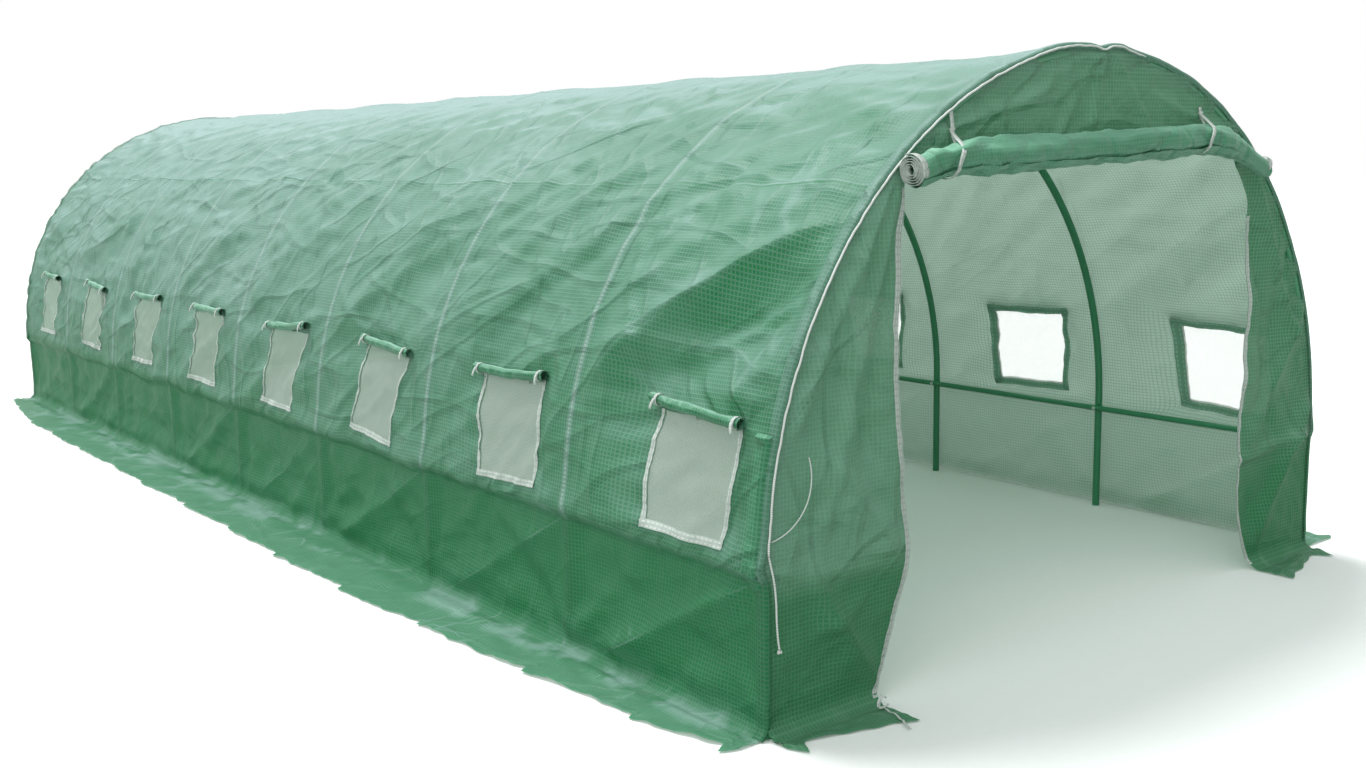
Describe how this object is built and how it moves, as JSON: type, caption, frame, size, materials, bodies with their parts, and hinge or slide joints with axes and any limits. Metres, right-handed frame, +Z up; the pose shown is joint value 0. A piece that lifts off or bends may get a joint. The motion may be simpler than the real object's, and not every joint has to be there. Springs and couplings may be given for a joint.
{
  "type": "polytunnel greenhouse",
  "caption": "Arched walk-in polytunnel: steel hoops under a woven green sheet with netted side windows, a rolled-up front door and loose ground skirts.",
  "frame": {"origin": "centre of the footprint on the ground", "axes": "+Z up, +Y along the tunnel towards its closed back end, the open front door at -Y, +X to the right seen from the front"},
  "size_m": [3.46, 8.34, 1.9998],
  "materials": {
    "green_tube": "satin powder coat",
    "green_sheet": "laminated woven sheet, translucent",
    "window_net": "fine open net",
    "white_tape": "woven tape",
    "white_cord": "braided cord"
  },
  "bodies": {
    "root": {"front_hoop": "green_tube", "hoop_2": "green_tube", "hoop_3": "green_tube", "hoop_4": "green_tube", "hoop_5": "green_tube", "hoop_6": "green_tube", "hoop_7": "green_tube", "hoop_8": "green_tube", "back_hoop": "green_tube", "ridge_purlin": "green_tube", "left_upper_purlin": "green_tube", "right_upper_purlin": "green_tube", "left_lower_purlin": "green_tube", "right_lower_purlin": "green_tube", "ridge_sheet": "green_sheet", "left_roof_sheet": "green_sheet", "right_roof_sheet": "green_sheet", "left_window_sheet": "green_sheet", "right_window_sheet": "green_sheet", "left_wall_sheet": "green_sheet", "right_wall_sheet": "green_sheet", "left_window_nets": "window_net", "right_window_nets": "window_net", "left_window_tapes": "white_tape", "right_window_tapes": "white_tape", "left_flap_rolls": "green_sheet", "right_flap_rolls": "green_sheet", "front_left_panel": "green_sheet", "front_right_panel": "green_sheet", "front_top_panel": "green_sheet", "front_door_roll": "green_sheet", "door_ties": "white_tape", "front_zips": "white_tape", "back_left_panel": "green_sheet", "back_right_panel": "green_sheet", "back_door_panel": "green_sheet", "back_zips": "white_tape", "hem_cords": "white_cord", "cord_tail": "white_cord", "cord_loop": "white_cord", "left_skirt": "green_sheet", "right_skirt": "green_sheet", "front_left_skirt": "green_sheet", "front_right_skirt": "green_sheet", "back_skirt": "green_sheet"}
  },
  "joints": []
}
